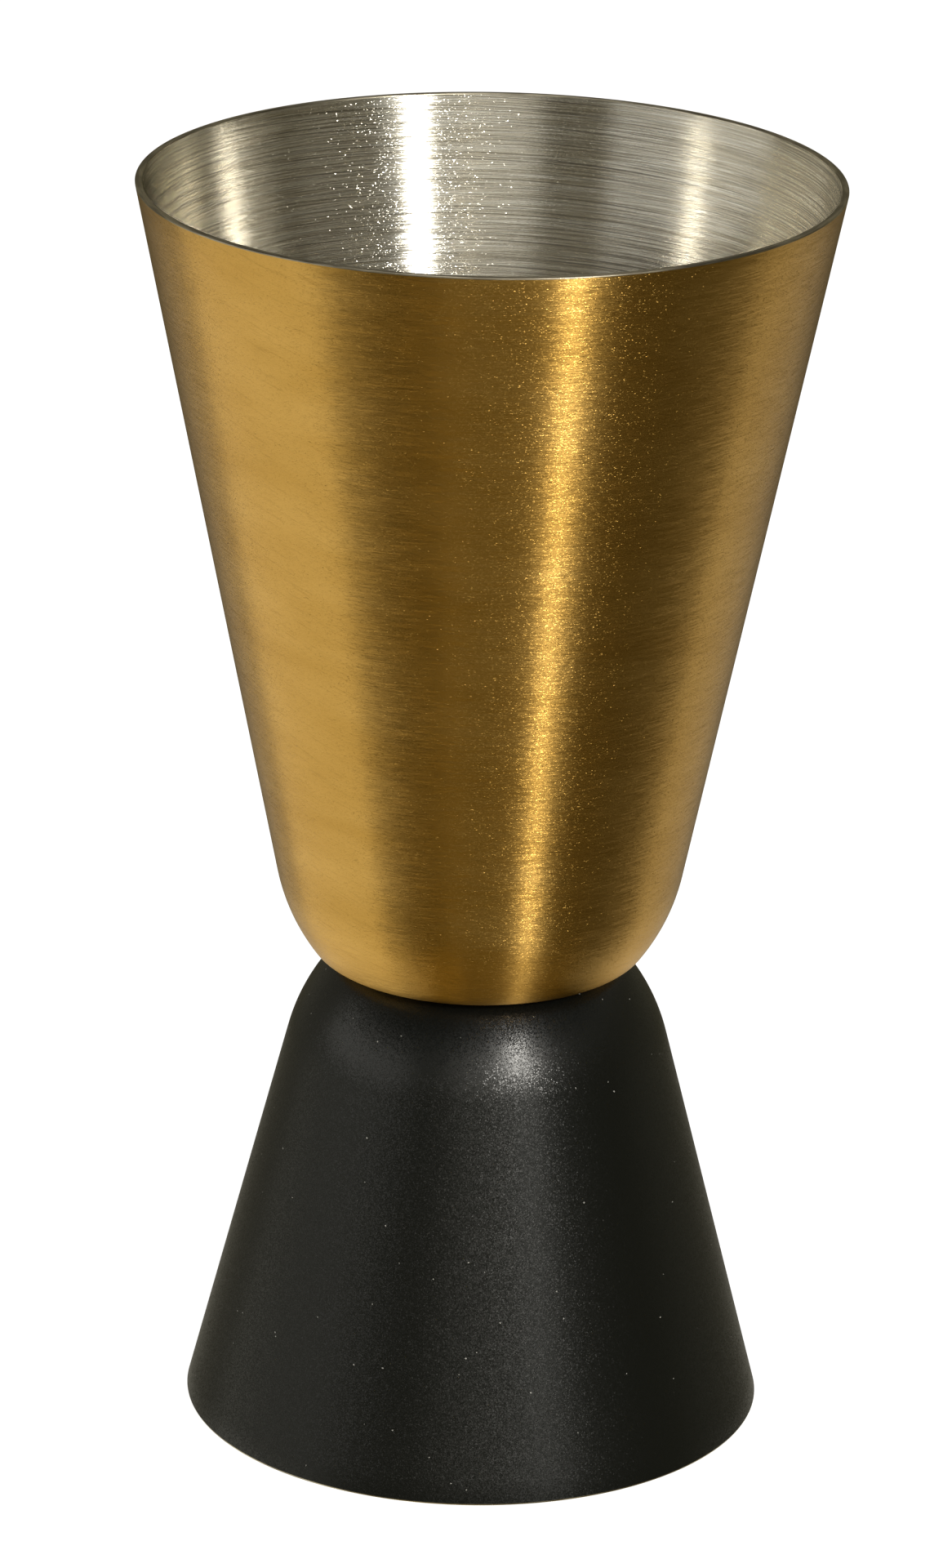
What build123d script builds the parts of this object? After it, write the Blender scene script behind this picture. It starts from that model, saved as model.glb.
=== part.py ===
"""A double-ended bar jigger: a large measuring cup, mouth up, on a small one that stands mouth down.

Both cups are drawn from stainless sheet and joined base to base by three spot welds.  The two base
flats lie against each other, and each weld is a lens of fused metal that sits half in each base.

Millimetres, +Z up.  The origin is the centre of the small cup's mouth, on which the jigger stands.
"""

import os

from build123d import *

# The sheet, and the radius left on both edges of each lip where it is trimmed and deburred
sheet = 0.45
lip_radius = 0.1

# Large cup, mouth up: outside sizes
large_mouth_diameter = 45.0
large_depth = 52.0
large_base_diameter = 18.6  # the flat that lies on the small cup
large_heel_radius = 2.1  # tight bend beside the flat
large_heel_turn = 54.0  # how far that bend turns, in degrees
large_flank_radius = 13.0  # easy bend from the heel up into the straight wall

# Small cup, mouth down: outside sizes
small_mouth_diameter = 38.0
small_depth = 31.0
small_base_diameter = 16.2
small_heel_radius = 2.5
small_heel_turn = 51.0
small_flank_radius = 12.7

# Spot welds between the two bases, evenly spaced on a circle
weld_count = 3
weld_circle_diameter = 9.0
nugget_diameter = 3.4
nugget_depth = 0.27  # how far a nugget goes into each sheet
dent_diameter = 4.0  # shallow mark that the electrode leaves inside each cup
dent_depth = 0.06

# The small cup stands on its lip, so the bases meet at its depth above the ground
seam_height = small_depth
large_section = Plane(origin=(0, 0, seam_height), x_dir=(1, 0, 0), z_dir=(0, -1, 0))
small_section = Plane(origin=(0, 0, seam_height), x_dir=(1, 0, 0), z_dir=(0, 1, 0))


def drawn_cup(section, mouth_diameter, depth, base_diameter, heel_radius, heel_turn, flank_radius):
    """A cup of even sheet about Z, from its outside sizes, with its base at the section's origin."""
    with BuildPart() as cup:
        with BuildSketch(section):
            with BuildLine():
                base = Line((0, 0), (base_diameter / 2, 0))
                heel = JernArc(base @ 1, base % 1, heel_radius, heel_turn)
                # The wall leaves the flank where a line from the mouth's edge is tangent to it
                upright = 90 - heel_turn
                flank_circle = JernArc(heel @ 1, heel % 1, flank_radius, upright, mode=Mode.PRIVATE)
                wall = ConstrainedLines(
                    flank_circle,
                    (mouth_diameter / 2, depth),
                    selector=lambda tangents: tangents.sort_by(Axis.X)[-1],
                )
                flank_turn = (wall % 0).get_angle(heel % 1)
                JernArc(heel @ 1, heel % 1, flank_radius, flank_turn)
                Polyline(wall @ 1, (0, depth), base @ 0)
            make_face()
        revolve(axis=Axis.Z)
        towards_mouth = Axis(section.origin, section.y_dir)
        offset(amount=-sheet, openings=cup.faces().sort_by(towards_mouth)[-1])
        fillet(cup.edges().group_by(towards_mouth)[-1], lip_radius)
    return cup.part


def lens(diameter, depth):
    """A lens that lies on the XY plane and bulges by depth to either side of it."""
    with BuildPart() as body:
        with BuildSketch(Plane.XZ):
            with BuildLine():
                upper = TangentArc((0, depth), (diameter / 2, 0), tangent=(1, 0))
                lower = TangentArc((0, -depth), (diameter / 2, 0), tangent=(1, 0))
                Line(upper @ 0, lower @ 0)
            make_face()
        revolve(axis=Axis.Z)
    return body.part


nugget = lens(nugget_diameter, nugget_depth)
dent = lens(dent_diameter, dent_depth)

with BuildPart() as weld_nuggets:
    with Locations((0, 0, seam_height)):
        with PolarLocations(weld_circle_diameter / 2, weld_count):
            add(nugget)
weld_nuggets.part.label = "weld_nuggets"

large_shell = drawn_cup(
    large_section,
    large_mouth_diameter,
    large_depth,
    large_base_diameter,
    large_heel_radius,
    large_heel_turn,
    large_flank_radius,
)
with BuildPart() as large_cup:
    add(large_shell)
    add(weld_nuggets.part, mode=Mode.SUBTRACT)
    with Locations((0, 0, seam_height + sheet)):
        with PolarLocations(weld_circle_diameter / 2, weld_count):
            add(dent, mode=Mode.SUBTRACT)
large_cup.part.label = "large_cup"

small_shell = drawn_cup(
    small_section,
    small_mouth_diameter,
    small_depth,
    small_base_diameter,
    small_heel_radius,
    small_heel_turn,
    small_flank_radius,
)
with BuildPart() as small_cup:
    add(small_shell)
    add(weld_nuggets.part, mode=Mode.SUBTRACT)
    with Locations((0, 0, seam_height - sheet)):
        with PolarLocations(weld_circle_diameter / 2, weld_count):
            add(dent, mode=Mode.SUBTRACT)
small_cup.part.label = "small_cup"

os.makedirs("parts", exist_ok=True)
export_step(large_cup.part, "parts/large_cup.step")
export_step(small_cup.part, "parts/small_cup.step")
export_step(weld_nuggets.part, "parts/weld_nuggets.step")
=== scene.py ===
# %% [markdown]
# # A bar jigger in brushed metal and powder coat
# A jigger is two measuring cups joined base to base. Both are drawn from thin stainless sheet. The large
# cup is coloured gold outside and the small one is powder coated black, while the insides stay bare.
# This lesson takes the fixed CAD frame, turns each cup's outline on a lathe made of geometry nodes, and
# spends the rest of its length on what makes metal look like metal: the grain, and what it reflects.

# %% Load the frame
import math

import bpy
from mathutils import Matrix, Vector


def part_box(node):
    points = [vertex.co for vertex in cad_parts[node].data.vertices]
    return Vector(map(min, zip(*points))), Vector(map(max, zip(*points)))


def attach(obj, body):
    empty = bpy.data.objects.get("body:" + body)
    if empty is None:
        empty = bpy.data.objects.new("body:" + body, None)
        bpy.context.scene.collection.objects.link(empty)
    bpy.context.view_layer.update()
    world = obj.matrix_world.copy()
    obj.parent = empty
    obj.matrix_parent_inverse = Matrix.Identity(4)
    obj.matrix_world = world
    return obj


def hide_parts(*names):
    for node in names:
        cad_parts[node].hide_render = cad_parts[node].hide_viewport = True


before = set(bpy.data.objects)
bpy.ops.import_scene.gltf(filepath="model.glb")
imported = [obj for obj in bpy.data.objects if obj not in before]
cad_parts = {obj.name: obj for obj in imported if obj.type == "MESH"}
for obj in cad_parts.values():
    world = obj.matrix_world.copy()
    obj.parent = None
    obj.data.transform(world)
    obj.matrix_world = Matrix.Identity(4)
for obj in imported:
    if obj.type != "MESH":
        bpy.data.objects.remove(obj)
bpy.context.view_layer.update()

# %% [markdown]
# ## Measures
# Whatever the frame can tell is read from it: the seam between the two cups is the top of the small one.
# The frame's boxes can't tell a bend's radius or the sheet's thickness, so those are named here, in the
# same sizes that the CAD cups were drawn to. Everything is in metres, so a millimetre gets a name.

# %% Sizes of the two cups
MM = 0.001
SHEET = 0.45 * MM
LIP_RADIUS = 0.1 * MM

seam_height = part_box("small_cup")[1].z
large_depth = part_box("large_cup")[1].z - seam_height
small_depth = seam_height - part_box("small_cup")[0].z

LARGE_CUP = {
    "mouth_radius": 22.5 * MM,
    "depth": large_depth,
    "base_radius": 9.3 * MM,
    "heel_radius": 2.1 * MM,
    "heel_turn": math.radians(54),
    "flank_radius": 13.0 * MM,
}
SMALL_CUP = {
    "mouth_radius": 19.0 * MM,
    "depth": small_depth,
    "base_radius": 8.1 * MM,
    "heel_radius": 2.5 * MM,
    "heel_turn": math.radians(51),
    "flank_radius": 12.7 * MM,
}
WELD_COUNT = 3
WELD_CIRCLE = 4.5 * MM
DENT_RADIUS = 2.0 * MM
DENT_DEPTH = 0.06 * MM
print("seam at", round(seam_height / MM, 2), "mm; depths", large_depth / MM, small_depth / MM)

# %% [markdown]
# ## The outline of a drawn cup
# A drawn cup is a solid of revolution, so half of its section says everything: a flat base, a tight bend
# (the heel), an easy bend (the flank), a straight wall and a trimmed lip, then the same bends again inside,
# one sheet's thickness in. It could be pushed about by eye on a Bezier curve, but arcs that are tangent to
# each other are exact, and a highlight running over a bend shows the smallest kink. So the outline is made
# of arcs and straights, and each of those is a short formula.

# %% Arcs and straights
HEEL_STEPS, FLANK_STEPS, LIP_STEPS = 10, 16, 6
WALL_STEP = 1.5 * MM
FLOOR_STEP = 0.25 * MM


def arc(centre, radius, start, turn, steps):
    """Points on an arc, without its first: start and turn are angles from +X, anticlockwise."""
    angles = [start + turn * (i + 1) / steps for i in range(steps)]
    return [(centre[0] + radius * math.cos(a), centre[1] + radius * math.sin(a)) for a in angles]


def straight(start, end, step):
    """Points along a line at about that step, without its first."""
    count = max(1, round(math.dist(start, end) / step))
    return [tuple(a + (b - a) * (i + 1) / count for a, b in zip(start, end)) for i in range(count)]


print("a quarter bend ends at", [round(value, 6) for value in arc((0, 0), 1, 0, math.pi / 2, HEEL_STEPS)[-1]])

# %% [markdown]
# ## One side of the sheet
# The outside and the inside follow the same centres, with radii that differ by the sheet's thickness. The
# wall's slope isn't given: it is the slope that touches the flank's circle and still reaches the mouth's
# outer edge. The inside floor gets finer steps than the outside base, because the welds will dent it.


# %% One side of the sheet
def skin(cup, inset):
    """From the base's centre to the mouth: the outside, or the inside at inset. Returns the points as far
    as the wall's foot, then the foot, the wall's top and the wall's angle."""
    heel, flank = cup["heel_radius"], cup["flank_radius"]
    base, turn = cup["base_radius"], cup["heel_turn"]
    heel_centre = (base, heel)
    flank_centre = (base - (flank - heel) * math.sin(turn), heel + (flank - heel) * math.cos(turn))
    across = cup["mouth_radius"] - flank_centre[0]
    up = cup["depth"] - flank_centre[1]
    reach = math.hypot(across, up)
    wall_angle = math.atan2(up, across) + math.asin(flank / reach)
    down = -math.pi / 2
    base_step = FLOOR_STEP if inset else WALL_STEP
    points = [(0.0, inset)] + straight((0.0, inset), (base, inset), base_step)
    points += arc(heel_centre, heel - inset, down, turn, HEEL_STEPS)
    points += arc(flank_centre, flank - inset, down + turn, wall_angle - turn, FLANK_STEPS)
    foot = points[-1]
    rise = cup["depth"] - foot[1]
    top = (foot[0] + rise / math.tan(wall_angle), cup["depth"])
    return points, foot, top, wall_angle


for name, cup in (("large", LARGE_CUP), ("small", SMALL_CUP)):
    lean = 90 - math.degrees(skin(cup, 0.0)[-1])
    print(name, "cup: the wall leans", round(lean, 2), "degrees from upright")

# %% [markdown]
# ## The whole section
# The trimmed lip is level, so it meets the sloping wall at a blunt edge inside and a sharp one outside, and
# each gets its own small arc. The outline also notes which finish the face after each point wears: the coat
# outside, the trimmed edge on the lip, and bare steel inside.

# %% The whole section
OUTSIDE, LIP, INSIDE = 0, 1, 2


def outline(cup):
    """The closed section as (radius, height, finish of the next face), from the base round to the inside."""
    outer, outer_foot, outer_top, angle = skin(cup, 0.0)
    inner, inner_foot, inner_top, _ = skin(cup, SHEET)
    r = LIP_RADIUS
    outer_reach = r / math.tan(angle / 2)
    inner_reach = r * math.tan(angle / 2)
    outer_end = (outer_top[0] - outer_reach * math.cos(angle), outer_top[1] - outer_reach * math.sin(angle))
    inner_end = (inner_top[0] - inner_reach * math.cos(angle), inner_top[1] - inner_reach * math.sin(angle))
    outer_centre = (outer_top[0] - outer_reach, cup["depth"] - r)
    inner_centre = (inner_top[0] + inner_reach, cup["depth"] - r)
    outside = outer + straight(outer_foot, outer_end, WALL_STEP)
    lip = arc(outer_centre, r, angle - math.pi / 2, math.pi - angle, LIP_STEPS)
    lip += [(inner_centre[0], cup["depth"])]
    lip += arc(inner_centre, r, math.pi / 2, angle, LIP_STEPS)
    inside = (inner + straight(inner_foot, inner_end, WALL_STEP)[:-1])[::-1]
    finishes = [OUTSIDE] * (len(outside) - 1) + [LIP] * len(lip) + [INSIDE] * (len(inside) + 1)
    return [(*p, f) for p, f in zip(outside + lip + inside, finishes)]


for name, cup in (("large", LARGE_CUP), ("small", SMALL_CUP)):
    section = outline(cup)
    print(name, "cup:", len(section), "points, widest", round(max(p[0] for p in section) / MM, 3), "mm")

# %% [markdown]
# ## A lathe made of geometry nodes
# Screw or Spin would also turn the outline, but a node tree keeps the rule open: how many segments, which
# finish goes where, and where the welds have dented the floor are all named inputs. A tree is many small
# nodes, so a few helpers come first. They take a socket or a plain number alike, and the materials use them
# too.


# %% Helpers for node trees
def node(tree, kind, **settings):
    """Adds a node and sets its properties."""
    made = tree.nodes.new(kind)
    for key, value in settings.items():
        setattr(made, key, value)
    return made


def feed(tree, target, source):
    """Gives an input a link, or a value of its own."""
    if isinstance(source, bpy.types.NodeSocket):
        tree.links.new(source, target)
    else:
        target.default_value = source


def feed_all(tree, targets, *sources):
    """Feeds a node's first inputs, in their order."""
    for target, source in zip(targets, sources):
        feed(tree, target, source)


def calculate(tree, operation, *values):
    """A maths node on sockets or numbers."""
    made = node(tree, "ShaderNodeMath", operation=operation)
    feed_all(tree, made.inputs, *values)
    return made.outputs[0]


def split_vector(tree, vector):
    """A vector's numbers, as the sockets X, Y and Z."""
    made = node(tree, "ShaderNodeSeparateXYZ")
    feed(tree, made.inputs[0], vector)
    return made.outputs


def join_vector(tree, x=0.0, y=0.0, z=0.0):
    made = node(tree, "ShaderNodeCombineXYZ")
    feed_all(tree, made.inputs, x, y, z)
    return made.outputs[0]


def scale_vector(tree, vector, factor):
    made = node(tree, "ShaderNodeVectorMath", operation="SCALE")
    feed(tree, made.inputs[0], vector)
    feed(tree, made.inputs["Scale"], factor)
    return made.outputs[0]


def open_group(name, tree_kind, inputs, outputs):
    """A node group with named sockets, and its input and output nodes."""
    tree = bpy.data.node_groups.new(name, tree_kind)
    for label, socket_kind, value in inputs:
        made = tree.interface.new_socket(name=label, in_out="INPUT", socket_type=socket_kind)
        if value is not None:
            made.default_value = value
    for label, socket_kind in outputs:
        tree.interface.new_socket(name=label, in_out="OUTPUT", socket_type=socket_kind)
    return tree, node(tree, "NodeGroupInput").outputs, node(tree, "NodeGroupOutput").inputs


print("node groups so far:", len(bpy.data.node_groups))

# %% [markdown]
# ## Turning a grid
# The tree starts from a flat grid with one row for each point of the outline, and one column more than there
# are segments. Every vertex looks up its row's radius and height, and is set at its column's angle. The
# grid's corners keep a UV map in real lengths, round the cup and along the sheet, which gives the brushed
# grain its direction later. Merge by Distance then closes the seam and the two poles, so that the shell is
# one closed solid.

# %% Turn a grid
SEGMENTS = 256
GRAIN_MAP = "grain"
MERGE_DISTANCE = 0.0001 * MM


def attribute(tree, name, data_type):
    """Reads a named attribute."""
    read = node(tree, "GeometryNodeInputNamedAttribute", data_type=data_type)
    read.inputs["Name"].default_value = name
    return read.outputs["Attribute"]


def keep(tree, geometry, name, value, data_type, domain):
    """The geometry, with a value kept on it under that name."""
    kept = node(tree, "GeometryNodeStoreNamedAttribute", data_type=data_type, domain=domain)
    kept.inputs["Name"].default_value = name
    feed(tree, kept.inputs["Geometry"], geometry)
    feed(tree, kept.inputs["Value"], value)
    return kept.outputs[0]


def turned_grid(tree, given):
    """The wire outline turned about Z into a closed shell."""
    size = node(tree, "GeometryNodeAttributeDomainSize", component="MESH")
    feed(tree, size.inputs["Geometry"], given["Geometry"])
    rows = size.outputs["Point Count"]
    grid = node(tree, "GeometryNodeMeshGrid")
    feed(tree, grid.inputs["Vertices X"], calculate(tree, "ADD", given["Segments"], 1))
    feed(tree, grid.inputs["Vertices Y"], rows)
    place = split_vector(tree, grid.outputs["UV Map"])
    row = calculate(tree, "MULTIPLY", place["Y"], calculate(tree, "SUBTRACT", rows, 1))

    def from_outline(value, data_type, at_row):
        picked = node(tree, "GeometryNodeSampleIndex", data_type=data_type, domain="POINT")
        feed(tree, picked.inputs["Geometry"], given["Geometry"])
        feed(tree, picked.inputs["Value"], value)
        feed(tree, picked.inputs["Index"], at_row)
        return picked.outputs[0]

    nearest_row = calculate(tree, "ROUND", row)
    position = node(tree, "GeometryNodeInputPosition").outputs[0]
    point = split_vector(tree, from_outline(position, "FLOAT_VECTOR", nearest_row))
    angle = calculate(tree, "MULTIPLY", place["X"], math.tau)
    turned = join_vector(
        tree,
        x=calculate(tree, "MULTIPLY", point["X"], calculate(tree, "COSINE", angle)),
        y=calculate(tree, "MULTIPLY", point["X"], calculate(tree, "SINE", angle)),
        z=point["Z"],
    )

    # The map is written while the grid is still flat, because it holds a value for each corner
    around = calculate(tree, "MULTIPLY", place["X"], given["Around"])
    along = from_outline(attribute(tree, "run", "FLOAT"), "FLOAT", nearest_row)
    lengths = join_vector(tree, x=around, y=along)
    mapped = keep(tree, grid.outputs["Mesh"], GRAIN_MAP, lengths, "FLOAT2", "CORNER")
    band = from_outline(attribute(tree, "finish", "INT"), "INT", calculate(tree, "FLOOR", row))
    banded = keep(tree, mapped, "finish", band, "INT", "FACE")

    shaped = node(tree, "GeometryNodeSetPosition")
    feed(tree, shaped.inputs["Geometry"], banded)
    feed(tree, shaped.inputs["Position"], turned)
    closed = node(tree, "GeometryNodeMergeByDistance")
    feed(tree, closed.inputs["Geometry"], shaped.outputs[0])
    closed.inputs["Distance"].default_value = MERGE_DISTANCE
    righted = node(tree, "GeometryNodeFlipFaces")
    feed(tree, righted.inputs["Mesh"], closed.outputs[0])
    feed(tree, righted.inputs["Selection"], given["Inside Out"])
    return righted.outputs[0]


print("grid:", SEGMENTS + 1, "columns, merged within", MERGE_DISTANCE / MM, "mm")

# %% [markdown]
# ## Dents over the welds
# Welding electrodes leave a shallow round dent over each weld, on the inside floor only. The welds' places
# are the points of a mesh circle at the floor's height. Each vertex of the floor sinks along its own normal,
# by how near it is to the closest of them, and a selection by height leaves the rest of the cup alone.

# %% Dent the floor
FLOOR_BAND = SHEET / 10


def dented_floor(tree, given, shell):
    """The shell with a bowl pressed into its inside floor over each weld."""
    welds = node(tree, "GeometryNodeMeshCircle")
    feed(tree, welds.inputs["Vertices"], given["Weld Count"])
    feed(tree, welds.inputs["Radius"], given["Weld Circle"])
    lifted = node(tree, "GeometryNodeTransform")
    feed(tree, lifted.inputs["Geometry"], welds.outputs[0])
    feed(tree, lifted.inputs["Translation"], join_vector(tree, z=given["Floor Height"]))
    nearest = node(tree, "GeometryNodeProximity", target_element="POINTS")
    feed(tree, nearest.inputs["Geometry"], lifted.outputs[0])
    share = calculate(tree, "DIVIDE", nearest.outputs["Distance"], given["Dent Radius"])
    bowl = calculate(tree, "SUBTRACT", 1.0, calculate(tree, "MULTIPLY", share, share))
    depth = calculate(tree, "MULTIPLY", calculate(tree, "MAXIMUM", bowl, 0.0), given["Dent Depth"])
    normal = node(tree, "GeometryNodeInputNormal").outputs[0]
    inwards = scale_vector(tree, normal, calculate(tree, "MULTIPLY", depth, -1.0))
    height = split_vector(tree, node(tree, "GeometryNodeInputPosition").outputs[0])["Z"]
    off_floor = calculate(tree, "ABSOLUTE", calculate(tree, "SUBTRACT", height, given["Floor Height"]))
    dented = node(tree, "GeometryNodeSetPosition")
    feed(tree, dented.inputs["Geometry"], shell)
    feed(tree, dented.inputs["Selection"], calculate(tree, "LESS_THAN", off_floor, FLOOR_BAND))
    feed(tree, dented.inputs["Offset"], inwards)
    return dented.outputs[0]


print("dents:", WELD_COUNT, "of", DENT_DEPTH / MM, "mm on a circle of radius", WELD_CIRCLE / MM, "mm")

# %% [markdown]
# ## The lathe
# The tree's inputs are the lengths above and one material for each finish. Every face carries its finish as
# a number, so one Set Material node for each finish can choose its own faces.

# %% The lathe
SAME_FINISH = 0.1


def finished(tree, given, shell):
    """The shell with each face in its finish's material."""
    for finish, label in ((OUTSIDE, "Outside"), (LIP, "Lip"), (INSIDE, "Inside")):
        chosen = calculate(tree, "COMPARE", attribute(tree, "finish", "INT"), finish, SAME_FINISH)
        coated = node(tree, "GeometryNodeSetMaterial")
        feed(tree, coated.inputs["Geometry"], shell)
        feed(tree, coated.inputs["Selection"], chosen)
        feed(tree, coated.inputs["Material"], given[label])
        shell = coated.outputs[0]
    return shell


def build_lathe():
    tree, given, result = open_group(
        "lathe",
        "GeometryNodeTree",
        [
            ("Geometry", "NodeSocketGeometry", None),
            ("Segments", "NodeSocketInt", SEGMENTS),
            ("Inside Out", "NodeSocketBool", False),
            ("Around", "NodeSocketFloat", 0.1),
            ("Weld Count", "NodeSocketInt", WELD_COUNT),
            ("Weld Circle", "NodeSocketFloat", WELD_CIRCLE),
            ("Floor Height", "NodeSocketFloat", 0.0),
            ("Dent Radius", "NodeSocketFloat", DENT_RADIUS),
            ("Dent Depth", "NodeSocketFloat", DENT_DEPTH),
            ("Outside", "NodeSocketMaterial", None),
            ("Lip", "NodeSocketMaterial", None),
            ("Inside", "NodeSocketMaterial", None),
        ],
        [("Geometry", "NodeSocketGeometry")],
    )
    smooth = node(tree, "GeometryNodeSetShadeSmooth")
    feed(tree, smooth.inputs["Geometry"], dented_floor(tree, given, turned_grid(tree, given)))
    made = node(tree, "GeometryNodeRealizeInstances")
    feed(tree, made.inputs["Geometry"], smooth.outputs[0])
    feed(tree, result["Geometry"], finished(tree, given, made.outputs[0]))
    return tree


lathe = build_lathe()
print("lathe:", len(lathe.nodes), "nodes")

# %% [markdown]
# ## Grain
# Both cups are brushed on a spindle, so every scratch runs round them. A scratch could be painted, but what
# the eye reads as brushed metal is the tilt of each scratch's walls: across the scratch they lean a lot, and
# along it hardly at all. The wide spread across the scratches is the shader's own anisotropy. What is left
# for the grain is what shows one by one: fine lines that break the edge of a highlight into threads, and
# burrs that glint beside it.
#
# The lines are noise, stretched round the cup. It reads X and Y from the object and the distance along the
# sheet from the grain map, so it has no seam, and on a flat floor it turns into rings.


# %% Stretched noise
def noise(tree, place, scale=1.0, detail=2.0):
    """Soft noise from 0 to 1. Scale is in features for each unit of place."""
    made = node(tree, "ShaderNodeTexNoise", noise_dimensions="3D")
    feed(tree, made.inputs["Vector"], place)
    feed(tree, made.inputs["Scale"], scale)
    feed(tree, made.inputs["Detail"], detail)
    return made.outputs["Fac"]


def place_group(tree, group, **values):
    """Places a node group. Its inputs are given in lower case, with underscores for spaces."""
    made = node(tree, "ShaderNodeGroup", node_tree=group)
    for key, value in values.items():
        feed(tree, made.inputs[key.replace("_", " ").title()], value)
    return made.outputs


def build_scratches():
    tree, given, result = open_group(
        "scratches",
        "ShaderNodeTree",
        [
            ("Place", "NodeSocketVector", None),
            ("Length", "NodeSocketFloat", 6.0),
            ("Width", "NodeSocketFloat", 0.1),
            ("Slant", "NodeSocketFloat", 0.0),
            ("Shift", "NodeSocketFloat", 0.0),
        ],
        [("Lines", "NodeSocketFloat")],
    )
    place = split_vector(tree, given["Place"])
    slanted = calculate(tree, "MULTIPLY_ADD", place["X"], given["Slant"], place["Z"])
    across = calculate(tree, "DIVIDE", slanted, given["Width"])
    stretched = join_vector(
        tree,
        x=calculate(tree, "DIVIDE", place["X"], given["Length"]),
        y=calculate(tree, "DIVIDE", place["Y"], given["Length"]),
        z=calculate(tree, "ADD", across, given["Shift"]),
    )
    feed(tree, result["Lines"], noise(tree, stretched))
    return tree


scratches = build_scratches()
print("scratches:", [item.name for item in scratches.interface.items_tree])

# %% [markdown]
# ## Burrs and facets
# A burr on a scratch and a grain of cured powder are both tiny flat faces, each with a lean of its own. Bump
# from noise would give soft hills, which hardly glint. Voronoi cells are better: a cell's random colour is
# the same all over it, so one channel can be the chance that the cell is a face at all, and the others its
# lean. Small leans are made likelier than large ones, so that the glints gather close to a highlight.


# %% Facets
def build_facets():
    tree, given, result = open_group(
        "facets",
        "ShaderNodeTree",
        [
            ("Place", "NodeSocketVector", None),
            ("Size", "NodeSocketFloat", 0.1),
            ("Share", "NodeSocketFloat", 0.3),
        ],
        [("Facet", "NodeSocketFloat"), ("Side", "NodeSocketFloat"), ("Up", "NodeSocketFloat")],
    )
    cells = node(tree, "ShaderNodeTexVoronoi", voronoi_dimensions="3D", feature="F1")
    in_cells = scale_vector(tree, given["Place"], calculate(tree, "DIVIDE", 1.0, given["Size"]))
    feed(tree, cells.inputs["Vector"], in_cells)
    cells.inputs["Scale"].default_value = 1.0
    chance = node(tree, "ShaderNodeSeparateColor")
    feed(tree, chance.inputs[0], cells.outputs["Color"])
    feed(tree, result["Facet"], calculate(tree, "LESS_THAN", chance.outputs[2], given["Share"]))
    # Among the chosen cells, blue is spread out again from 0 to 1 and serves as a third chance
    third = calculate(tree, "DIVIDE", chance.outputs[2], given["Share"])
    side = calculate(tree, "SUBTRACT", chance.outputs[0], chance.outputs[1])
    mostly_small = calculate(tree, "MULTIPLY", third, third)
    feed(tree, result["Side"], calculate(tree, "MULTIPLY", side, mostly_small))
    feed(tree, result["Up"], calculate(tree, "SUBTRACT", 1.0, third))
    return tree


facets = build_facets()
print("facets:", [item.name for item in facets.interface.items_tree])

# %% [markdown]
# ## The brushed surface
# The lines and the burrs are added up as one lean to the side, round the cup, and one lean up the sheet. Two
# sets of lines are used, because what shifts a highlight sideways is short and broken, and what makes one
# thread brighter than the next is long. The sum leaves the group as the colour of a normal map, half grey
# for no lean, so that the Normal Map node can stay in the material with the map's name.


# %% Brushed surface
THREADS_TO_BROKEN = 3.0
BURR_STRETCH = (0.3, 0.3, 1.0)


def lean_colour(tree, side, up):
    """A normal map's colour from two leans, each about -1 to 1."""
    colour = node(tree, "ShaderNodeCombineColor")
    feed(tree, colour.inputs[0], calculate(tree, "MULTIPLY_ADD", side, 0.5, 0.5))
    feed(tree, colour.inputs[1], calculate(tree, "MULTIPLY_ADD", up, 0.5, 0.5))
    colour.inputs[2].default_value = 1.0
    return colour.outputs[0]


def build_brushed():
    tree, given, result = open_group(
        "brushed",
        "ShaderNodeTree",
        [
            ("Place", "NodeSocketVector", None),
            ("Line Length", "NodeSocketFloat", 1.6),
            ("Line Width", "NodeSocketFloat", 0.07),
            ("Side Tilt", "NodeSocketFloat", 0.2),
            ("Up Tilt", "NodeSocketFloat", 0.2),
            ("Burr Size", "NodeSocketFloat", 0.1),
            ("Burr Share", "NodeSocketFloat", 0.3),
            ("Burr Tilt", "NodeSocketFloat", 0.3),
            ("Burr Lift", "NodeSocketFloat", 0.3),
        ],
        [("Normal Colour", "NodeSocketColor"), ("Lines", "NodeSocketFloat")],
    )

    def lines(length, slant, shift):
        return place_group(
            tree,
            scratches,
            place=given["Place"],
            length=length,
            width=given["Line Width"],
            slant=slant,
            shift=shift,
        )["Lines"]

    longer = calculate(tree, "MULTIPLY", given["Line Length"], THREADS_TO_BROKEN)
    broken = lines(given["Line Length"], slant=0.03, shift=90.0)
    threads = lines(longer, slant=-0.02, shift=0.0)
    side = calculate(tree, "MULTIPLY", calculate(tree, "SUBTRACT", broken, 0.5), given["Side Tilt"])
    up = calculate(tree, "MULTIPLY", calculate(tree, "SUBTRACT", threads, 0.5), given["Up Tilt"])
    stretched = node(tree, "ShaderNodeVectorMath", operation="MULTIPLY")
    feed_all(tree, stretched.inputs, given["Place"], BURR_STRETCH)
    burrs = place_group(
        tree, facets, place=stretched.outputs[0], size=given["Burr Size"], share=given["Burr Share"]
    )
    tilt = calculate(tree, "MULTIPLY", burrs["Facet"], given["Burr Tilt"])
    lift = calculate(tree, "MULTIPLY", burrs["Facet"], given["Burr Lift"])
    side = calculate(tree, "MULTIPLY_ADD", burrs["Side"], tilt, side)
    up = calculate(tree, "MULTIPLY_ADD", burrs["Up"], lift, up)
    feed(tree, result["Normal Colour"], lean_colour(tree, side, up))
    feed(tree, result["Lines"], threads)
    return tree


brushed = build_brushed()
print("groups:", [group.name for group in bpy.data.node_groups])

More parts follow.
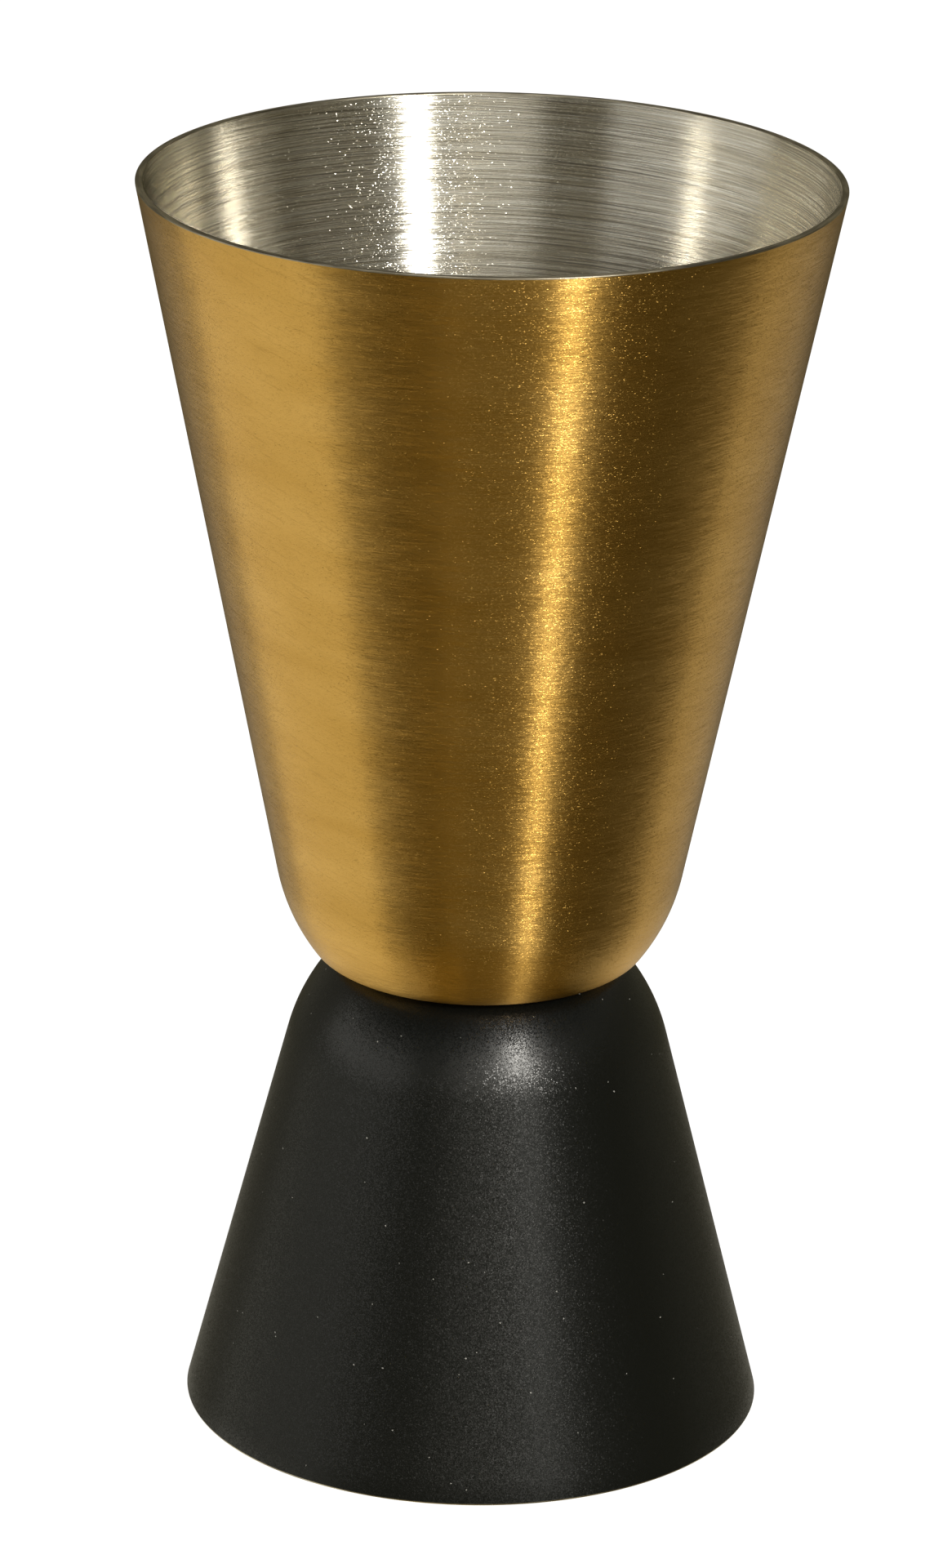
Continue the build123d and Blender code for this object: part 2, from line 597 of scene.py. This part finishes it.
# %% [markdown]
# ## Materials
# Each material starts empty, with one Principled shader. The patterns are laid out in millimetres, because
# a scratch of 0.05 is easier to judge than one of 0.00005. Brushed metal reads the grain map, and the welds,
# which are CAD solids with no map, read their plain place on the object. Noise seldom leaves the stretch from
# 0.3 to 0.7, so where a value should follow it from end to end, it is remapped from there.


# %% Material helpers
NOISE_LOW, NOISE_HIGH = 0.3, 0.7


def new_material(name):
    """An empty node material. Returns the material, its tree and its Principled shader."""
    material = bpy.data.materials.new(name)
    material.use_nodes = True
    tree = material.node_tree
    tree.nodes.clear()
    shader = node(tree, "ShaderNodeBsdfPrincipled")
    feed(tree, node(tree, "ShaderNodeOutputMaterial").inputs["Surface"], shader.outputs[0])
    return material, tree, shader


def own_place(tree):
    """The place on the object, in millimetres."""
    return scale_vector(tree, node(tree, "ShaderNodeTexCoord").outputs["Object"], 1 / MM)


def grain_place(tree):
    """X and Y of the piece, and the distance along its sheet, in millimetres."""
    own = split_vector(tree, node(tree, "ShaderNodeTexCoord").outputs["Object"])
    grain = split_vector(tree, node(tree, "ShaderNodeUVMap", uv_map=GRAIN_MAP).outputs[0])
    return scale_vector(tree, join_vector(tree, own["X"], own["Y"], grain["Y"]), 1 / MM)


def remap(tree, value, low, high, new_low, new_high):
    """Low becomes new_low and high becomes new_high, with nothing past either."""
    made = node(tree, "ShaderNodeMapRange")
    feed_all(tree, made.inputs, value, low, high, new_low, new_high)
    return made.outputs[0]


def mix_colours(tree, share, first, second):
    """First where share is 0, second where it is 1. Colours are given as three numbers or a socket."""
    made = node(tree, "ShaderNodeMix", data_type="RGBA")
    feed(tree, made.inputs[0], share)
    # The node keeps sockets for every type of data, and the colours are its inputs 6 and 7 and its output 2
    for target, colour in ((made.inputs[6], first), (made.inputs[7], second)):
        feed(tree, target, (*colour, 1) if isinstance(colour, tuple) else colour)
    return made.outputs[2]


def lean_normal(tree, shader, colour):
    """Gives the shader a normal from a normal map's colour."""
    tilt = node(tree, "ShaderNodeNormalMap", space="TANGENT", uv_map=GRAIN_MAP)
    feed(tree, tilt.inputs["Color"], colour)
    feed(tree, shader.inputs["Normal"], tilt.outputs[0])


print("a scratch is noise on millimetres, so 1 m is", 1 / MM, "units")

# %% [markdown]
# ## Brushed metal
# The bare and the coloured metal share one recipe. Anisotropy is high, and the tangent runs round the cup
# with the scratches, so a lamp becomes an upright streak: sharp from side to side, and smeared up and down.
# The Principled shader smears along its tangent, so a rotation of a quarter turns the streak upright.


# %% Brushed metal
ROUGHNESS_SPREAD = 0.06
QUARTER_TURN = 0.25


def brushed_metal(name, roughness, anisotropy, **grain):
    """A metal with brushed normals, whose base colour is still to be fed. Returns the material, its tree,
    its shader, the place its patterns read and its scratches."""
    material, tree, shader = new_material(name)
    place = grain_place(tree)
    surface = place_group(tree, brushed, place=place, **grain)
    rougher = roughness * (1 + ROUGHNESS_SPREAD)
    smoother = roughness * (1 - ROUGHNESS_SPREAD)
    spread = remap(tree, surface["Lines"], NOISE_LOW, NOISE_HIGH, rougher, smoother)
    feed(tree, shader.inputs["Roughness"], spread)
    shader.inputs["Metallic"].default_value = 1.0
    shader.inputs["Anisotropic"].default_value = anisotropy
    shader.inputs["Anisotropic Rotation"].default_value = QUARTER_TURN
    tangent = node(tree, "ShaderNodeTangent", direction_type="UV_MAP", uv_map=GRAIN_MAP)
    feed(tree, shader.inputs["Tangent"], tangent.outputs[0])
    lean_normal(tree, shader, surface["Normal Colour"])
    return material, tree, shader, place, surface["Lines"]


def streaks(tree, place, low, high, most, **sizes):
    """A mask of stretched noise: 0 below low, and up to most at high."""
    return remap(tree, place_group(tree, scratches, place=place, **sizes)["Lines"], low, high, 0.0, most)


print("a highlight is smeared", QUARTER_TURN, "of a turn away from the grain")

# %% [markdown]
# ## The gold coat
# The large cup's outside is steel with a very thin gold-coloured coat, such as titanium nitride, which keeps
# the brushed grain. Its colour wanders a little between brassy and brown, more slowly than the grain does,
# and handling has rubbed it in faint slanting marks. Real burrs lean every way. Here only the upward leans
# are made, since those are the ones that a lamp above picks out, and the rest would only cost cells.

# %% Gold coat
BROWN_GOLD = (0.71, 0.415, 0.095)
BRASSY_GOLD = (0.82, 0.50, 0.135)
RUBBED_GOLD = (0.55, 0.31, 0.07)
LINE_CONTRAST = 1.2

gold_coat, tree, shader, place, lines = brushed_metal(
    "gold_coat",
    roughness=0.31,
    anisotropy=1.0,
    line_length=0.7,
    line_width=0.055,
    side_tilt=0.13,
    up_tilt=0.65,
    burr_size=0.022,
    burr_share=0.2,
    burr_tilt=0.6,
    burr_lift=0.4,
)
stains = streaks(tree, place, 0.28, 0.72, 1.0, length=9.0, width=3.0, slant=0.1, shift=7.0)
shade = calculate(tree, "MULTIPLY_ADD", calculate(tree, "SUBTRACT", lines, 0.5), LINE_CONTRAST, stains)
metal = mix_colours(tree, shade, BROWN_GOLD, BRASSY_GOLD)
rubs = streaks(tree, place, 0.58, 0.70, 0.35, length=2.5, width=0.16, slant=0.35, shift=17.0)
feed(tree, shader.inputs["Base Color"], mix_colours(tree, rubs, metal, RUBBED_GOLD))
print("gold_coat:", len(tree.nodes), "nodes")

# %% [markdown]
# ## The bare steel
# The insides are the same sheet without a coat, with longer scratches. Under the mouth the steel mirrors
# itself from wall to wall, which makes even a small change of colour tell, so the long scratches get a paler
# and a darker tone of their own instead of only a lean. The distance along the sheet runs from the mouth
# into the cup here, so a negative lift leans the burrs towards the mouth.

# %% Brushed steel
WARM_STEEL = (0.80, 0.76, 0.66)
POLISHED_STEEL = (0.97, 0.95, 0.88)
SCORED_STEEL = (0.22, 0.19, 0.14)

brushed_steel, tree, shader, place, _ = brushed_metal(
    "brushed_steel",
    roughness=0.25,
    anisotropy=1.0,
    line_length=3.5,
    line_width=0.06,
    side_tilt=0.10,
    up_tilt=0.9,
    burr_size=0.02,
    burr_share=0.22,
    burr_tilt=0.4,
    burr_lift=-0.2,
)
polished = streaks(tree, place, 0.46, 0.56, 1.0, length=9.0, width=0.10, slant=0.02, shift=57.0)
metal = mix_colours(tree, polished, WARM_STEEL, POLISHED_STEEL)
scored = streaks(tree, place, 0.54, 0.62, 0.65, length=14.0, width=0.05, slant=-0.03, shift=31.0)
feed(tree, shader.inputs["Base Color"], mix_colours(tree, scored, metal, SCORED_STEEL))
print("brushed_steel:", len(tree.nodes), "nodes")

# %% [markdown]
# ## The trimmed lip
# The mouth is trimmed after drawing, and its edge is only lightly finished, so a hair of darker steel shows
# between the coat and the brushed inside. Its anisotropy is lower, for a finish that has crossed the grain.

# %% Trimmed lip
DULL_LIP = (0.36, 0.32, 0.24)
WORN_LIP = (0.66, 0.60, 0.46)

trimmed_lip, tree, shader, place, _ = brushed_metal(
    "trimmed_lip",
    roughness=0.36,
    anisotropy=0.5,
    line_length=1.4,
    line_width=0.07,
    side_tilt=0.1,
    up_tilt=0.1,
    burr_size=0.1,
    burr_share=0.1,
    burr_tilt=0.2,
    burr_lift=0.1,
)
worn = streaks(tree, place, 0.4, 0.6, 1.0, length=3.0, width=0.3, slant=0.0, shift=3.0)
feed(tree, shader.inputs["Base Color"], mix_colours(tree, worn, DULL_LIP, WORN_LIP))
print("trimmed_lip:", len(tree.nodes), "nodes")

# %% [markdown]
# ## The powder coat
# The small cup is powder coated: the powder melts into a skin that is smooth to the touch and finely pebbled
# to the eye, so a highlight on it is made of sparks. Every cell of the facets is therefore used, with a small
# lean each. A few cells hold a speck of pale dust instead of the coat's near black.

# %% Powder coat
DEEP_BLACK = (0.0022, 0.0029, 0.0025)
SOFT_BLACK = (0.0040, 0.0048, 0.0042)
PALE_DUST = (0.35, 0.34, 0.31)
PEBBLE_SIDE, PEBBLE_UP = 0.26, 0.20
POWDER_ROUGH, POWDER_SMOOTH = 0.335, 0.28


def powder_coat():
    material, tree, shader = new_material("black_coat")
    place = grain_place(tree)
    pebbles = place_group(tree, facets, place=place, size=0.06, share=1.0)
    side = calculate(tree, "MULTIPLY", pebbles["Side"], PEBBLE_SIDE)
    up = calculate(tree, "MULTIPLY", calculate(tree, "SUBTRACT", pebbles["Up"], 0.5), PEBBLE_UP)
    lean_normal(tree, shader, lean_colour(tree, side, up))
    shader.inputs["IOR"].default_value = 1.55
    patches = noise(tree, place, scale=7.0)
    skin_roughness = remap(tree, patches, NOISE_LOW, NOISE_HIGH, POWDER_ROUGH, POWDER_SMOOTH)
    feed(tree, shader.inputs["Roughness"], skin_roughness)
    coat = mix_colours(tree, patches, DEEP_BLACK, SOFT_BLACK)
    dust = place_group(tree, facets, place=place, size=0.08, share=0.0002)["Facet"]
    feed(tree, shader.inputs["Base Color"], mix_colours(tree, dust, coat, PALE_DUST))
    return material


black_coat = powder_coat()
print("black_coat:", len(black_coat.node_tree.nodes), "nodes")

# %% [markdown]
# ## The weld metal
# Three spot welds hold the two cups together. Each is a nugget of steel that melted and froze between the
# sheets, so it has no brushing: its skin is rippled, and heat has tinted it straw-brown in patches.

# %% Weld metal
WELD_GREY = (0.52, 0.50, 0.46)
WELD_STRAW = (0.38, 0.26, 0.14)
WELD_SMOOTH, WELD_ROUGH = 0.34, 0.55
RIPPLE_HEIGHT = 0.03 * MM


def weld_metal():
    material, tree, shader = new_material("weld_metal")
    place = own_place(tree)
    ripples = noise(tree, place, scale=5.0, detail=3.0)
    heat = noise(tree, place, scale=0.9)
    shader.inputs["Metallic"].default_value = 1.0
    tint = mix_colours(tree, remap(tree, heat, 0.35, 0.65, 0.0, 1.0), WELD_GREY, WELD_STRAW)
    feed(tree, shader.inputs["Base Color"], tint)
    rippled = remap(tree, ripples, NOISE_LOW, NOISE_HIGH, WELD_SMOOTH, WELD_ROUGH)
    feed(tree, shader.inputs["Roughness"], rippled)
    bump = node(tree, "ShaderNodeBump")
    bump.inputs["Strength"].default_value = 1.0
    bump.inputs["Distance"].default_value = RIPPLE_HEIGHT
    feed(tree, bump.inputs["Height"], ripples)
    feed(tree, shader.inputs["Normal"], bump.outputs[0])
    return material


welded = weld_metal()
print("finishes:", [material.name for material in bpy.data.materials])

# %% [markdown]
# ## Turning the cups
# The CAD cups are right in shape, but they are made of loose triangles with no map, and grain needs a map
# to run round them. So each cup is turned again on the lathe, to the same outline, and stands in for its CAD
# node. The outline goes in as a bare wire whose points carry their distance along the sheet and the finish
# that comes next. The small cup hangs mouth down, which turns its faces over, and Inside Out rights them.
#
# The evaluated object becomes a plain mesh and the modifier goes, so what is left is only geometry.
# The mesh grid leaves an empty first material slot behind, and that is taken off too.


# %% Turn a cup
def turn_cup(name, cup, upside_down, outside, replaced):
    """Turns a cup's outline on the lathe into a plain mesh that stands for its CAD node."""
    section = outline(cup)
    side = -1 if upside_down else 1
    wire = bpy.data.meshes.new(name)
    points = [(r, 0.0, seam_height + side * z) for r, z, _ in section]
    wire.from_pydata(points, [(i, i + 1) for i in range(len(points) - 1)], [])
    runs = [0.0]
    for before, after in zip(points, points[1:]):
        runs.append(runs[-1] + math.dist(before, after))
    wire.attributes.new("run", "FLOAT", "POINT").data.foreach_set("value", runs)
    wire.attributes.new("finish", "INT", "POINT").data.foreach_set("value", [p[2] for p in section])
    piece = bpy.data.objects.new(name, wire)
    bpy.context.scene.collection.objects.link(piece)

    modifier = piece.modifiers.new("lathe", "NODES")
    modifier.node_group = lathe
    values = {
        "Segments": SEGMENTS,
        "Inside Out": upside_down,
        "Around": math.tau * cup["mouth_radius"],
        "Weld Count": WELD_COUNT,
        "Weld Circle": WELD_CIRCLE,
        "Floor Height": seam_height + side * SHEET,
        "Dent Radius": DENT_RADIUS,
        "Dent Depth": DENT_DEPTH,
        "Outside": outside,
        "Lip": trimmed_lip,
        "Inside": brushed_steel,
    }
    for socket in lathe.interface.items_tree:
        if socket.in_out == "INPUT" and socket.name in values:
            modifier[socket.identifier] = values[socket.name]
    graph = bpy.context.evaluated_depsgraph_get()
    turned = bpy.data.meshes.new_from_object(piece.evaluated_get(graph), depsgraph=graph)
    piece.modifiers.remove(modifier)
    turned.materials.pop(index=0)
    piece.data = turned
    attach(piece, "root")
    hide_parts(replaced)
    print(name, "has", len(turned.polygons), "faces and", [m.name for m in turned.materials])


print("the lathe's inputs:", [s.name for s in lathe.interface.items_tree if s.in_out == "INPUT"])

# %% Both cups
turn_cup("large_cup_shell", LARGE_CUP, False, gold_coat, "large_cup")
turn_cup("small_cup_shell", SMALL_CUP, True, black_coat, "small_cup")

# %% [markdown]
# ## The weld nuggets
# The three nuggets are simple lens-like solids shut in between the two bases, and the CAD shape is all they
# need. They stay as they are, and only their material changes.

# %% Weld nuggets
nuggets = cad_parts["weld_nuggets"]
for material_slot in nuggets.material_slots:
    material_slot.material = welded
print("weld_nuggets wears", [s.material.name for s in nuggets.material_slots])

# %% [markdown]
# ## The camera
# A long lens looks down a little into the large cup's mouth. The camera could simply track the object, but
# then a small roll would be lost, so its three axes are worked out from pitch, yaw and roll and written as
# the columns of its matrix. Depth of field stays off, so that every view of the part is sharp.

# %% Camera
CAMERA_DISTANCE = 430.1 * MM
CAMERA_HEIGHT = 198.6 * MM
PITCH, YAW, ROLL = 0.348, -0.0015, -0.0173
SENSOR_WIDTH, FOCAL_LENGTH = 36.0, 161.9

camera_data = bpy.data.cameras.new("camera")
camera_data.sensor_width = SENSOR_WIDTH
camera_data.lens = FOCAL_LENGTH
camera_data.clip_start = 0.01
camera = bpy.data.objects.new("camera", camera_data)
bpy.context.scene.collection.objects.link(camera)
forward = Vector((math.sin(YAW) * math.cos(PITCH), math.cos(YAW) * math.cos(PITCH), -math.sin(PITCH)))
level_right = Vector((math.cos(YAW), -math.sin(YAW), 0.0))
down = forward.cross(level_right)
right = math.cos(ROLL) * level_right + math.sin(ROLL) * down
up = right.cross(forward)
standpoint = Vector((0.0, -CAMERA_DISTANCE, CAMERA_HEIGHT))
rows = [[right[i], up[i], -forward[i], standpoint[i]] for i in range(3)]
camera.matrix_world = Matrix(rows + [[0, 0, 0, 1]])
bpy.context.scene.camera = camera
print("camera looks down by", round(math.degrees(PITCH), 1), "degrees from", tuple(standpoint))

# %% [markdown]
# ## The key lamp
# Metal shows its surroundings, so lighting it means choosing what it mirrors. One small bright lamp, to the
# right of the camera and above it, makes the thin streak on the gold, the white bar inside and the soft spot
# on the black shoulder. Its size is set by how wide the bar is, and its power is worked out from how bright
# its face should look, because brightness is what a mirror copies. Its azimuth is counted in degrees from
# the camera's side of the part, positive to the camera's right.

# %% Key lamp
KEY_AZIMUTH, KEY_ELEVATION = 27.5, 28.0
KEY_DISTANCE = 0.8
KEY_WIDTH, KEY_HEIGHT = 0.062, 0.11
KEY_RADIANCE = 145.0
KEY_COLOUR = (1.0, 0.97, 0.9)

bearing, lift = math.radians(KEY_AZIMUTH), math.radians(KEY_ELEVATION)
away = Vector((math.sin(bearing) * math.cos(lift), -math.cos(bearing) * math.cos(lift), math.sin(lift)))
lamp = bpy.data.lights.new("key", "AREA")
lamp.shape = "RECTANGLE"
lamp.size = KEY_WIDTH
lamp.size_y = KEY_HEIGHT
lamp.color = KEY_COLOUR
lamp.energy = KEY_RADIANCE * math.pi * KEY_WIDTH * KEY_HEIGHT
key = bpy.data.objects.new("key", lamp)
key.location = Vector((0.0, 0.0, seam_height)) + away * KEY_DISTANCE
key.rotation_euler = away.to_track_quat("Z", "Y").to_euler()
key.visible_camera = False
bpy.context.scene.collection.objects.link(key)
print("key lamp:", round(lamp.energy, 2), "W at", tuple(round(v, 3) for v in key.location))

# %% [markdown]
# ## The surroundings
# The rest of what the metal mirrors is a round studio of soft-edged panels, each with a middle, a width and
# a height. Area lamps could stand in for them, but panels in the world add little noise, light every side of
# the part, and fade at their edges. The darkness between them matters as much: the gold is deep only where it
# mirrors the unlit side of the room. The note beside each panel says what it could be in a real studio.
#
# The camera itself sees plain white. Cycles blurs a reflection that follows a blurry one, to save noise, and
# that would wash out the lamp's second bounce inside the cup, so Filter Glossy is switched off.


# %% A soft-edged panel
def build_panel():
    """One panel of the studio, as a mask over directions. Angles are in radians."""
    tree, given, result = open_group(
        "panel",
        "ShaderNodeTree",
        [
            ("Direction", "NodeSocketVector", None),
            ("Middle", "NodeSocketVector", None),
            ("Half Width", "NodeSocketFloat", 1.0),
            ("Side Edge", "NodeSocketFloat", 0.1),
            ("Low", "NodeSocketFloat", 0.0),
            ("High", "NodeSocketFloat", 1.0),
            ("Level Edge", "NodeSocketFloat", 0.1),
        ],
        [("Mask", "NodeSocketFloat")],
    )

    def soft_step(value, middle, edge):
        """0 well under the middle and 1 well over it."""
        made = node(tree, "ShaderNodeMapRange", interpolation_type="SMOOTHSTEP")
        low = calculate(tree, "SUBTRACT", middle, edge)
        high = calculate(tree, "ADD", middle, edge)
        feed_all(tree, made.inputs, value, low, high)
        return made.outputs[0]

    direction = split_vector(tree, given["Direction"])
    level = node(tree, "ShaderNodeVectorMath", operation="NORMALIZE")
    feed(tree, level.inputs[0], join_vector(tree, direction["X"], direction["Y"]))
    cosine = node(tree, "ShaderNodeVectorMath", operation="DOT_PRODUCT")
    feed_all(tree, cosine.inputs, level.outputs[0], given["Middle"])
    off_middle = calculate(tree, "ARCCOSINE", cosine.outputs["Value"])
    outside = soft_step(off_middle, given["Half Width"], given["Side Edge"])
    elevation = calculate(tree, "ARCSINE", direction["Z"])
    over = soft_step(elevation, given["Low"], given["Level Edge"])
    above = soft_step(elevation, given["High"], given["Level Edge"])
    band = calculate(tree, "MULTIPLY", over, calculate(tree, "SUBTRACT", 1.0, above))
    beside = calculate(tree, "SUBTRACT", 1.0, outside)
    feed(tree, result["Mask"], calculate(tree, "MULTIPLY", beside, band))
    return tree


panel = build_panel()
print("panel:", [item.name for item in panel.interface.items_tree])

# %% The studio
# In degrees. A half width past 180 has no sides, and levels past 90 either way have no edge there
ALL_ROUND = 200
BELOW, ABOVE = -120, 120
PANELS = [
    # middle azimuth, half width, side edge, low, high, level edge, radiance
    (-90, 31, 3, BELOW, -13, 10, (0.78, 0.76, 0.67)),  # table to the left
    (175, 68, 5, BELOW, -22, 8, (0.66, 0.64, 0.56)),  # table to the right and behind
    (-74, 33, 5, 8, 22, 5, (1.05, 1.03, 0.97)),  # soft box to the left
    (2, 18, 7, 8, 32, 8, (0.90, 0.87, 0.78)),  # pale card over the camera
    (31, 7, 4, -6, 12, 6, (1.10, 1.10, 1.02)),  # the key lamp's stand and spill
    (-105, 50, 8, -12, 18, 8, (0.10, 0.10, 0.09)),  # wall to the left
    (150, 55, 12, -12, 12, 8, (0.06, 0.06, 0.05)),  # wall behind
    (0, ALL_ROUND, 5, 20, 36, 8, (0.20, 0.19, 0.16)),  # top of the walls
    (0, ALL_ROUND, 5, 66, ABOVE, 6, (1.10, 1.07, 1.00)),  # pale ceiling
    (0, ALL_ROUND, 5, BELOW, -60, 6, (0.30, 0.21, 0.04)),  # warm glow under the heel
    (-50, 30, 6, BELOW, -66, 5, (0.45, 0.34, 0.12)),  # and more of it to the left
    (0, ALL_ROUND, 5, -50, 24, 10, (0.058, 0.048, 0.020)),  # dark room
]

world = bpy.data.worlds.new("studio")
world.use_nodes = True
bpy.context.scene.world = world
tree = world.node_tree
tree.nodes.clear()
direction = node(tree, "ShaderNodeTexCoord").outputs["Generated"]
total = (0.0, 0.0, 0.0)
for middle, half_width, side_edge, low, high, level_edge, radiance in PANELS:
    bearing = math.radians(middle)
    mask = place_group(
        tree,
        panel,
        direction=direction,
        middle=(math.sin(bearing), -math.cos(bearing), 0.0),
        half_width=math.radians(half_width),
        side_edge=math.radians(side_edge),
        low=math.radians(low),
        high=math.radians(high),
        level_edge=math.radians(level_edge),
    )["Mask"]
    lit = node(tree, "ShaderNodeVectorMath", operation="MULTIPLY_ADD")
    feed_all(tree, lit.inputs, mask, radiance, total)
    total = lit.outputs[0]
mirrored = node(tree, "ShaderNodeBackground")
feed(tree, mirrored.inputs["Color"], total)
seen = node(tree, "ShaderNodeBackground")
feed(tree, seen.inputs["Color"], (1, 1, 1, 1))
chooser = node(tree, "ShaderNodeMixShader")
by_camera = node(tree, "ShaderNodeLightPath").outputs["Is Camera Ray"]
feed_all(tree, chooser.inputs, by_camera, mirrored.outputs[0], seen.outputs[0])
feed(tree, node(tree, "ShaderNodeOutputWorld").inputs["Surface"], chooser.outputs[0])
bpy.context.scene.cycles.blur_glossy = 0.0
print("studio:", len(PANELS), "panels")

# %% [markdown]
# ## The floor
# The part stands on a plain white floor that is itself bright, like a light table, so that it runs into the
# white behind without an edge. The metal mirrors the studio's own table instead, which is why the
# floor is hidden from reflections. The Standard view transform keeps that white at full white.

# %% Floor
FLOOR_REACH = 3.0
FLOOR_TONE = 0.4
FLOOR_GLOW = 0.94

floor_mesh = bpy.data.meshes.new("floor")
corners = [(x * FLOOR_REACH, y * FLOOR_REACH, 0.0) for x, y in ((-1, -1), (1, -1), (1, 1), (-1, 1))]
floor_mesh.from_pydata(corners, [], [(0, 1, 2, 3)])
floor = bpy.data.objects.new("floor", floor_mesh)
bpy.context.scene.collection.objects.link(floor)
floor_material, tree, shader = new_material("pale_floor")
shader.inputs["Base Color"].default_value = (FLOOR_TONE, FLOOR_TONE, FLOOR_TONE, 1)
shader.inputs["Roughness"].default_value = 0.9
shader.inputs["Specular IOR Level"].default_value = 0.0
shader.inputs["Emission Color"].default_value = (1, 1, 1, 1)
shader.inputs["Emission Strength"].default_value = FLOOR_GLOW
floor_mesh.materials.append(floor_material)
floor.visible_glossy = False
floor.visible_shadow = False
bpy.context.scene.view_settings.view_transform = "Standard"
print("floor:", 2 * FLOOR_REACH, "m across")
